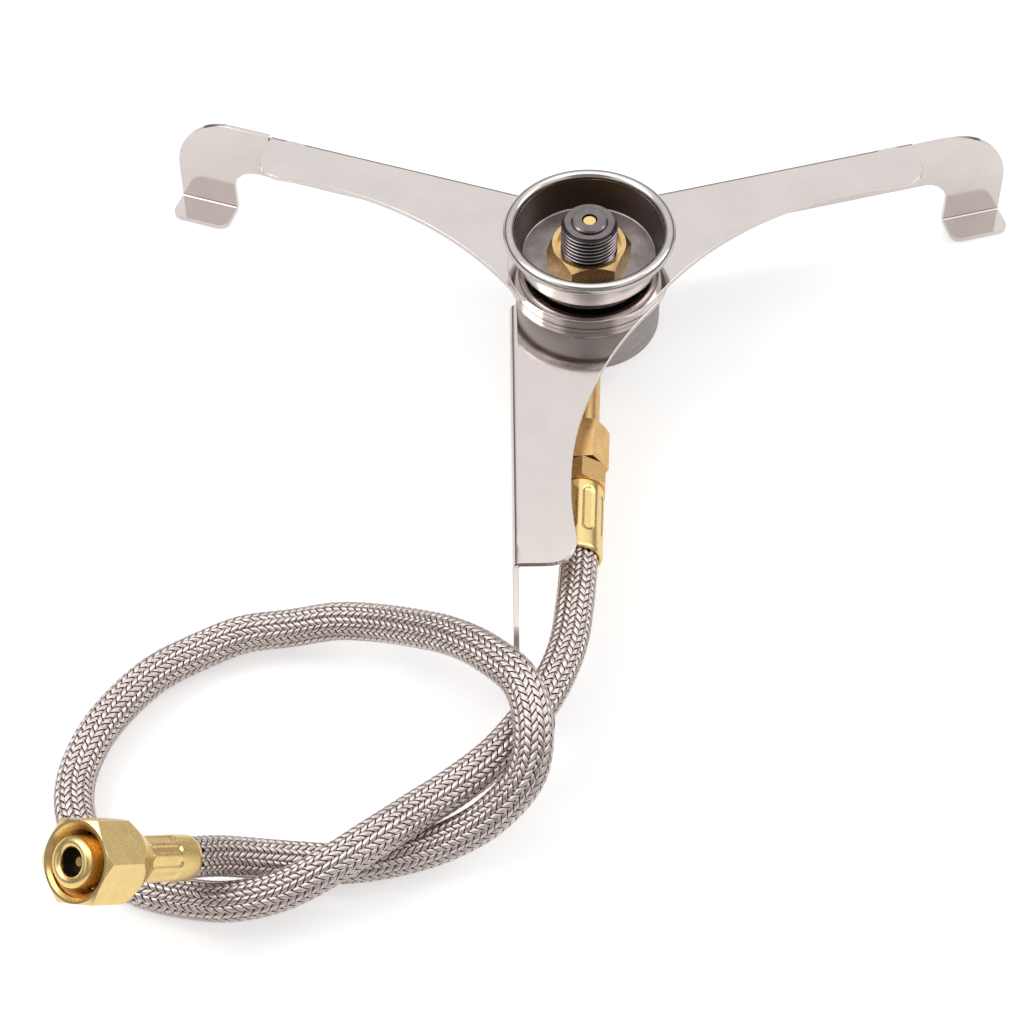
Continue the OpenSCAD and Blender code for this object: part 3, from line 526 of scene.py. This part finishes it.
def pressed_leg(name, node, body):
    bm = bmesh.new()
    bm.from_mesh(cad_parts[node].data)
    bmesh.ops.remove_doubles(bm, verts=bm.verts, dist=2e-6)
    bmesh.ops.dissolve_limit(bm, angle_limit=math.radians(0.6), use_dissolve_boundaries=False,
                             verts=bm.verts, edges=bm.edges)
    # Tight corners stay unrounded: one short edge there would shrink every round
    weight = bm.edges.layers.float.new("bevel_weight_edge")
    for e in bm.edges:
        sharp = len(e.link_faces) == 2 and e.calc_face_angle() > math.radians(28)
        around = [n.calc_length() / MM for v in e.verts for n in v.link_edges]
        if sharp and min(around) >= CALM_EDGE:
            e[weight] = 1
    for f in bm.faces:
        f.smooth = True
    mesh = bpy.data.meshes.new(name)
    bm.to_mesh(mesh)
    bm.free()
    mesh.set_sharp_from_angle(angle=math.radians(28))
    piece = add_piece(name, mesh, [SHEET_STEEL], body, node)
    round_edges(piece, LEG_EDGE, marked=True)
    even = piece.modifiers.new("even_shading", "WEIGHTED_NORMAL")
    even.keep_sharp = True
    even.weight = 100


pressed_leg("front_leg_sheet", "leg_front", "base")
pressed_leg("left_leg_sheet", "leg_left", "left_leg")
pressed_leg("right_leg_sheet", "leg_right", "right_leg")

# ---------------------------------------------------------------- hub
# Brass bush on which the legs turn, a flat steel washer over them, and a thin
# wave washer that keeps the legs stiff to turn.  Both washers are painted dark
# brown: painted shade of the gap under the cup.
dress("pivot_bush", LINE_BRASS)
# Dark brown for both washers: painted shade of the gap under the cup
WASHER_SHADE = metal("washer_steel", (150, 138, 130), (96, 84, 76), (0.22, 0.36), patch=240,
                     grain=2400)
dress("thrust_washer", WASHER_SHADE)
dress("wave_washer", WASHER_SHADE)

# ---------------------------------------------------------------- cup
# Pressed stainless cup clamped on the bush.  Its wall flares and ends in a
# rolled rim.  Polished outside, satin inside, where the wall and the floor are
# painted darker: painted shade.
CUP_HOLE = 5.6
CUP_UNDERSIDE = 26.8
CUP_FLOOR = 27.6
CUP_CORNER = (12.9, 28.0)
CUP_RIM = (15.7, 34.0, 1.2)
CUP_STEEL = metal("cup_steel", (204, 198, 195), (174, 166, 162), (0.08, 0.16), patch=160,
                  grain=2400, amount=0.5, relief=0.006, stretch=(1, 1, 3))
# Darker copies of the cup's steel for its inside wall and floor: painted shade
CUP_INSIDE_SHADE = metal("cup_inside_shade", (116, 106, 102), (102, 93, 89), (0.34, 0.42), patch=200,
                   grain=2600, amount=0.6, relief=0.003)
CUP_BOTTOM_SHADE = metal("cup_bottom_shade", (152, 144, 141), (108, 100, 97), (0.24, 0.34), patch=260,
                   grain=2600, amount=0.8, relief=0.006)


def arc(centre, radius, start, end, steps):
    """Points of an arc in a section, as (radius, height)."""
    turns = [math.radians(start + (end - start) * i / steps) for i in range(steps + 1)]
    return [(centre[0] + radius * math.cos(t), centre[1] + radius * math.sin(t)) for t in turns]


def turn_section(bm, section, steps, closed=True):
    """Turns a section of (radius, height) points round the Z axis."""
    verts = [bm.verts.new((r * MM, 0, z * MM)) for r, z in section]
    pairs = list(zip(verts, verts[1:])) + ([(verts[-1], verts[0])] if closed else [])
    edges = [bm.edges.new(p) for p in pairs]
    bmesh.ops.spin(bm, geom=verts + edges, cent=(0, 0, 0), axis=(0, 0, 1), dvec=(0, 0, 0),
                   angle=2 * math.pi, steps=steps, use_merge=True, use_duplicate=False)
    bmesh.ops.remove_doubles(bm, verts=bm.verts, dist=1e-7)
    bmesh.ops.recalc_face_normals(bm, faces=bm.faces)


def finished(bm, name, place=None, angle=28):
    """The mesh of a turned or milled piece, in its place."""
    if place is not None:
        bm.transform(place)
    for f in bm.faces:
        f.smooth = True
    mesh = bpy.data.meshes.new(name)
    bm.to_mesh(mesh)
    bm.free()
    mesh.set_sharp_from_angle(angle=math.radians(angle))
    return mesh


bm = bmesh.new()
section = [(CUP_HOLE, CUP_UNDERSIDE), (8.5, CUP_UNDERSIDE)]
section += arc(CUP_CORNER, 1.2, -90, -11, 8)
section += arc(CUP_RIM[:2], CUP_RIM[2], -120, 182, 26)
section += arc(CUP_CORNER, 0.4, -11, -90, 6)
section += [(8.5, CUP_FLOOR), (CUP_HOLE, CUP_FLOOR)]
turn_section(bm, section, 128)
# The inside wall and floor take the darker tones: painted shade
for f in bm.faces:
    middle = f.calc_center_median()
    inward = f.normal.x * middle.x + f.normal.y * middle.y < 0 or f.normal.z > 0.5
    if middle.z / MM < CUP_RIM[1] - 0.2 and inward and middle.z / MM > CUP_FLOOR - 0.1:
        f.material_index = 2 if middle.z / MM < CUP_FLOOR + 0.3 else 1
add_piece("rolled_cup", finished(bm, "rolled_cup"), [CUP_STEEL, CUP_INSIDE_SHADE, CUP_BOTTOM_SHADE], "base",
          "valve_cup")

# ---------------------------------------------------------------- stem nut
# Brass hexagon nut that clamps the cup, 14.5 mm across its flats, chamfered on
# top with a round recess where the stem's thread comes out.
NUT_ACROSS = 14.5
NUT_HEIGHT = 3.2
NUT_RECESS = (6.35, 1.2)
NUT_TURN = 8
NUT_BRASS = metal("nut_brass", (236, 202, 142), (190, 146, 86), (0.16, 0.28), patch=420,
                  grain=3800, amount=0.5, relief=0.01)


def hex_radius(angle, across):
    """Distance from the axis to a hexagon's side, its corners at 0, 60, 120..."""
    part = (angle + math.pi / 6) % (math.pi / 3) - math.pi / 6
    return across / 2 / math.cos(math.pi / 6 - abs(part))


def hex_from_round(bm, across, low, high, low_cone, high_cone):
    """Mills a turned blank to a hexagon and leaves its cone chamfers as arcs.
    Blank verts farther out than the flats move on to the sides."""
    inner = across / 2
    for v in bm.verts:
        r = math.hypot(v.co.x, v.co.y) / MM
        if r < inner + 0.01:
            continue
        side = hex_radius(math.atan2(v.co.y, v.co.x), across)
        v.co.x *= side / r
        v.co.y *= side / r
        drop = side - inner
        if high_cone and v.co.z / MM > high - 0.01:
            v.co.z = (high - drop * high_cone) * MM
        if low_cone and v.co.z / MM < low + 0.01:
            v.co.z = (low + drop * low_cone) * MM


bm = bmesh.new()
corner = NUT_ACROSS / math.sqrt(3)
turn_section(bm, [(5.6, 0), (corner, 0), (corner, NUT_HEIGHT), (NUT_ACROSS / 2, NUT_HEIGHT),
                  (NUT_RECESS[0], NUT_HEIGHT), (NUT_RECESS[0], NUT_HEIGHT - NUT_RECESS[1]),
                  (5.6, NUT_HEIGHT - NUT_RECESS[1])], 72)
hex_from_round(bm, NUT_ACROSS, 0, NUT_HEIGHT, 0, 1.0)
place = (Matrix.Translation((0, 0, CUP_FLOOR * MM))
         @ Matrix.Rotation(math.radians(NUT_TURN), 4, "Z"))
nut = add_piece("cup_nut", finished(bm, "cup_nut", place, 20), [NUT_BRASS], "base", "stem_nut")
round_edges(nut, 0.08, 2, 20)

# ---------------------------------------------------------------- valve stem
# Turned stud, dark nickel plated, with a fine 7/16 inch thread of 28 turns to
# the inch, a chamfered top and a raised boss round the pin.
STEM_MAJOR = 5.55
STEM_MINOR = 4.98
THREAD_PITCH = 0.907
STEM_FOOT = 17
THREAD_FROM = 29.4
CHAMFER_FROM = 35.9
STEM_TOP = 36.6
BOSS = (3.5, 37.2)
PIN_HOLE = 1.5
GUN_METAL = metal("gun_metal", (134, 126, 127), (112, 104, 105), (0.18, 0.28), patch=500,
                  grain=4000, amount=0.6, relief=0.006)
# Near black for the thread roots and the pin hole's wall: painted shade in the recesses
GROOVE_SHADE = metal("painted_groove_shade", (52, 46, 45), (34, 30, 30), (0.35, 0.5), metallic=0.7)


def cut_thread(bm, crest, root, start, turns, envelope, pitch=THREAD_PITCH, steps=56):
    """A screw thread: one tooth's section carried round and along the axis."""
    tooth = [(root, 0), (root + 0.75 * (crest - root), 0.30), (crest, 0.39), (crest, 0.52),
             (root + 0.75 * (crest - root), 0.61), (root, 0.907)]
    old = set(bm.verts)
    verts = [bm.verts.new((r * MM, 0, (start + z / 0.907 * pitch) * MM)) for r, z in tooth]
    edges = [bm.edges.new(p) for p in zip(verts, verts[1:])]
    bmesh.ops.spin(bm, geom=verts + edges, cent=(0, 0, 0), axis=(0, 0, 1),
                   dvec=(0, 0, pitch / steps * MM), angle=2 * math.pi * turns,
                   steps=int(steps * turns), use_merge=False, use_duplicate=False)
    new = [v for v in bm.verts if v not in old]
    for v in new:
        r = math.hypot(v.co.x, v.co.y) / MM
        wanted = envelope(r, v.co.z / MM)
        v.co.x *= wanted / r
        v.co.y *= wanted / r
    bmesh.ops.remove_doubles(bm, verts=new, dist=2e-6)


bm = bmesh.new()
core = STEM_MINOR - 0.02
turn_section(bm, [(3, STEM_FOOT), (STEM_MAJOR, STEM_FOOT), (STEM_MAJOR, THREAD_FROM),
                  (core, THREAD_FROM + 0.3), (core, CHAMFER_FROM + STEM_MAJOR - core),
                  (STEM_MAJOR - 0.7, STEM_TOP), (BOSS[0] + 0.12, STEM_TOP),
                  (BOSS[0], STEM_TOP - 0.1), (BOSS[0], BOSS[1] - 0.25), (BOSS[0] - 0.3, BOSS[1]),
                  (PIN_HOLE, BOSS[1]), (PIN_HOLE, 33), (3, 33)], 96)
for f in bm.faces:
    middle = f.calc_center_median()
    # The pin hole's wall is painted dark: painted shade
    if math.hypot(middle.x, middle.y) / MM < PIN_HOLE + 0.02:
        f.material_index = 1
done = set(bm.faces)
cut_thread(bm, STEM_MAJOR, STEM_MINOR, THREAD_FROM - 0.1, 6.9,
           lambda r, z: min(r, max(core, STEM_MAJOR - max(0, z - CHAMFER_FROM))))
thread = [f for f in bm.faces if f not in done]
for f in thread:
    middle = f.calc_center_median()
    if f.normal.x * middle.x + f.normal.y * middle.y < 0:
        f.normal_flip()
    # The thread's roots are painted dark: painted shade
    if math.hypot(middle.x, middle.y) / MM < STEM_MINOR + 0.3:
        f.material_index = 1
add_piece("threaded_stem", finished(bm, "threaded_stem", None, 24),
          [GUN_METAL, GROOVE_SHADE], "base", "valve_stem")

# ---------------------------------------------------------------- valve inside
# Rubber seal round the pin, the brass pin, its steel spring and the drilled
# plug that carries the spring.  Only the pin's end shows.
PALE_BRASS = metal("pale_brass", (246, 216, 150), (230, 196, 128), (0.22, 0.32), patch=420,
                   grain=3800, amount=0.4, relief=0.002)
dress("stem_seal", dark_rubber("seal_rubber"))
dress("valve_pin", PALE_BRASS)
dress("valve_spring", metal("spring_wire", (206, 202, 198), (168, 162, 158), (0.2, 0.3)))
dress("spring_seat", LINE_BRASS)

# ---------------------------------------------------------------- gas pipe
# Brass pipe from the valve block to the coupler, soldered in at both ends.
dress("gas_pipe", LINE_BRASS)

# ---------------------------------------------------------------- coupler
# Brass hexagon on the pipe's end and the hexagon of the hose tail screwed into
# it, with a thin dark gasket between them.
COUPLER_ACROSS = 8.8
COUPLER_LENGTH = 9.6
COUPLER_TURN = 7.6
COUPLER_AT = 34.7
TAIL_ACROSS = 8.9
TAIL_LENGTH = 4.8
TAIL_AT = 44.8


def on_gas_line(distance):
    """The gas line's own axes, a distance out from the valve along -Y."""
    return (Matrix.Translation((0, -distance * MM, 14 * MM))
            @ Matrix.Rotation(math.radians(90), 4, "X"))


def turned_by(degrees):
    return Matrix.Rotation(math.radians(degrees), 4, "Z")


bm = bmesh.new()
corner = COUPLER_ACROSS / math.sqrt(3)
turn_section(bm, [(3.02, 0), (COUPLER_ACROSS / 2, 0), (corner, 0), (corner, COUPLER_LENGTH),
                  (2.6, COUPLER_LENGTH), (2.6, 4.6), (3.02, 4.6)], 72)
hex_from_round(bm, COUPLER_ACROSS, 0, COUPLER_LENGTH, 0.9, 0)
place = on_gas_line(COUPLER_AT) @ turned_by(COUPLER_TURN)
coupler = add_piece("coupler_hexagon", finished(bm, "coupler_hexagon", place, 20),
                    [LINE_BRASS], "base", "pipe_coupler")
round_edges(coupler, 0.1, 2, 20)
dress("coupler_gasket", dark_rubber("gasket_rubber"))

bm = bmesh.new()
corner = TAIL_ACROSS / math.sqrt(3)
turn_section(bm, [(1.4, -5.2), (2.55, -5.2), (2.55, 0), (TAIL_ACROSS / 2, 0), (corner, 0),
                  (corner, TAIL_LENGTH), (TAIL_ACROSS / 2, TAIL_LENGTH), (2.93, TAIL_LENGTH),
                  (2.93, 20.2), (1.4, 20.2)], 72)
hex_from_round(bm, TAIL_ACROSS, 0, TAIL_LENGTH, 0, 0.5)
tail = add_piece("hose_tail_hexagon",
                 finished(bm, "hose_tail_hexagon", on_gas_line(TAIL_AT) @ turned_by(90), 20),
                 [LINE_BRASS], "base", "hose_tail")
round_edges(tail, 0.1, 2, 20)

# ---------------------------------------------------------------- ferrules
# Brass sleeves that clamp the hose.  The crimping jaws leave lengthwise flats
# with round ends, and the mouth at the hose is rolled over a little.
FERRULE_BORE = 3.0
FERRULE_MOUTH = 3.72
NEAR_MOUTH_AT = 66
FITTING_PLACE = (Matrix.Translation(Vector(HOSE_ROUTE[-1]) * MM)
                 @ Matrix.Rotation(math.radians(222.7), 4, "Z")
                 @ Matrix.Rotation(math.radians(46), 4, "Y"))


def crimped_sleeve(radius, length, jaws, first, width, zone, depth, soft):
    """A sleeve that starts at its mouth, its outer wall pressed in by the jaws.
    zone is where along it they press, and soft is how far an edge fades."""
    bm = bmesh.new()
    rows = 64
    lip = [(FERRULE_MOUTH, 0.02), (FERRULE_MOUTH + 0.4 * (radius - FERRULE_MOUTH), 0)]
    lip += [(radius - 0.08, 0.25)]
    outer = [(radius, 0.6 + (length - 0.9) * i / rows) for i in range(rows + 1)]
    section = lip + outer + [(radius - 0.1, length - 0.1), (radius - 0.3, length)]
    section += [(FERRULE_BORE, length), (FERRULE_BORE, 1.5), (FERRULE_MOUTH, 1.5)]
    turn_section(bm, section, 160)
    for v in bm.verts:
        r = math.hypot(v.co.x, v.co.y) / MM
        z = v.co.z / MM
        turn = math.degrees(math.atan2(v.co.y, v.co.x)) - first
        apart = (turn + 180 / jaws) % (360 / jaws) - 180 / jaws
        across = math.radians(apart) * radius
        past = max(zone[0] + width / 2 - z, 0, z - zone[1] + width / 2)
        edge = (width / 2 - math.hypot(across, past)) / soft
        press = min(1, max(0, edge))
        press = press * press * (3 - 2 * press)
        flat = (radius - depth) / math.cos(math.radians(apart))
        wanted = r + press * (min(flat, r) - r)
        v.co.x *= wanted / r
        v.co.y *= wanted / r
    return bm


bm = crimped_sleeve(4.3, 16.4, 8, 65, 2.7, (4.1, 14.7), 0.42, 0.6)
near_place = on_gas_line(NEAR_MOUTH_AT) @ Matrix.Rotation(math.radians(180), 4, "X")
add_piece("near_ferrule", finished(bm, "near_ferrule", near_place, 35), [PALE_BRASS],
          "base", "ferrule_near")
bm = crimped_sleeve(4.0, 12.4, 10, 10, 2.1, (4.7, 20), 0.32, 0.7)
add_piece("far_ferrule", finished(bm, "far_ferrule", FITTING_PLACE, 35), [PALE_BRASS],
          "base", "ferrule_far")

# ---------------------------------------------------------------- nipple
# Turned brass tail with a collar, a neck on which the union nut turns, a
# sealing flange and a rounded nose with a bore for the opening pin.  The bore's
# wall is painted near black: painted shade.
BORE_SHADE = metal("painted_bore_shade", (52, 48, 46), (30, 28, 28), (0.35, 0.5), metallic=0.6)
bm = bmesh.new()
turn_section(bm, [(1.4, 1), (2.95, 1), (2.95, 12.4), (3.5, 12.4), (3.7, 12.55), (3.7, 12.75),
                  (3.55, 12.9), (3.0, 12.9), (3.0, 18.4), (5.4, 18.4), (5.4, 19.9), (4.0, 19.9),
                  (4.25, 20.3), (4.25, 26.9)]
             + arc((3.2, 27.55), 1.05, 0, 90, 10) + arc((3.2, 27.7), 0.9, 95, 180, 8)
             + [(2.3, 23.2), (1.4, 23.2)], 96)
# The bore's wall takes the dark tone: painted shade
for f in bm.faces:
    middle = f.calc_center_median()
    if math.hypot(middle.x, middle.y) / MM < 2.32 and 23.1 < middle.z / MM < 27.7:
        f.material_index = 1
add_piece("fitting_nipple", finished(bm, "fitting_nipple", FITTING_PLACE, 30),
          [PALE_BRASS, BORE_SHADE], "base", "nipple")

# ---------------------------------------------------------------- opening pin
# Small brass pin on a drilled disc inside the nose.  It opens the valve.
dress("depressor_pin", PALE_BRASS)

# ---------------------------------------------------------------- union nut
# Brass hexagon nut, 13.5 mm across its flats, that turns on the nipple's neck
# and screws on to the valve: tapered at the back, chamfered in front, with a
# thread inside.  Thread and bore are painted a darker, warmer brown: painted
# shade and a painted reflection of brass in brass.
UNION_ACROSS = 13.5
UNION_LENGTH = 14.0
UNION_AT = 13.2
UNION_TURN = 6
UNION_BACK = 4.5
UNION_CONE = 6.0
UNION_WALL = 5.0
UNION_THREAD = 5.75
# Darker, warmer brass for the thread and bore: painted shade and painted reflection
INNER_BRASS_SHADE_REFLECTION = metal("inner_brass_painted_shade_reflection", (232, 188, 126), (206, 154, 96), (0.26, 0.38), patch=420,
                    grain=3800, amount=0.4, relief=0.004)

bm = bmesh.new()
corner = UNION_ACROSS / math.sqrt(3)
rise = UNION_CONE / (corner - UNION_BACK)
cone_end = (UNION_ACROSS / 2 - UNION_BACK) * rise
turn_section(bm, [(3.06, 0), (UNION_BACK, 0), (UNION_ACROSS / 2, cone_end), (corner, cone_end),
                  (corner, UNION_LENGTH), (UNION_ACROSS / 2, UNION_LENGTH),
                  (6.3, UNION_LENGTH), (UNION_THREAD, UNION_LENGTH - 0.55),
                  (UNION_THREAD, UNION_WALL), (3.06, UNION_WALL)], 96)
hex_from_round(bm, UNION_ACROSS, cone_end, UNION_LENGTH, rise, 0.55)
bmesh.ops.remove_doubles(bm, verts=bm.verts, dist=3e-6)
bore = set(bm.faces)
cut_thread(bm, 5.32, UNION_THREAD - 0.01, 7.4, 5.9,
           lambda r, z: max(r, min(UNION_THREAD, 5.32 + max(0, z - UNION_LENGTH + 0.9))))
# Thread and bore faces take the inner tone: painted shade and painted reflection
for f in bm.faces:
    middle = f.calc_center_median()
    reach = math.hypot(middle.x, middle.y) / MM
    if f not in bore:
        f.material_index = 1
        if f.normal.x * middle.x + f.normal.y * middle.y > 0:
            f.normal_flip()
    elif reach < 5.9 and middle.z / MM > UNION_WALL - 0.1:
        f.material_index = 1
union = add_piece("union_nut_hexagon",
                  finished(bm, "union_nut_hexagon",
                           FITTING_PLACE @ Matrix.Translation((0, 0, UNION_AT * MM))
                           @ turned_by(UNION_TURN), 20),
                  [PALE_BRASS, INNER_BRASS_SHADE_REFLECTION], "swivel_nut", "union_nut")
round_edges(union, 0.12, 2, 24)
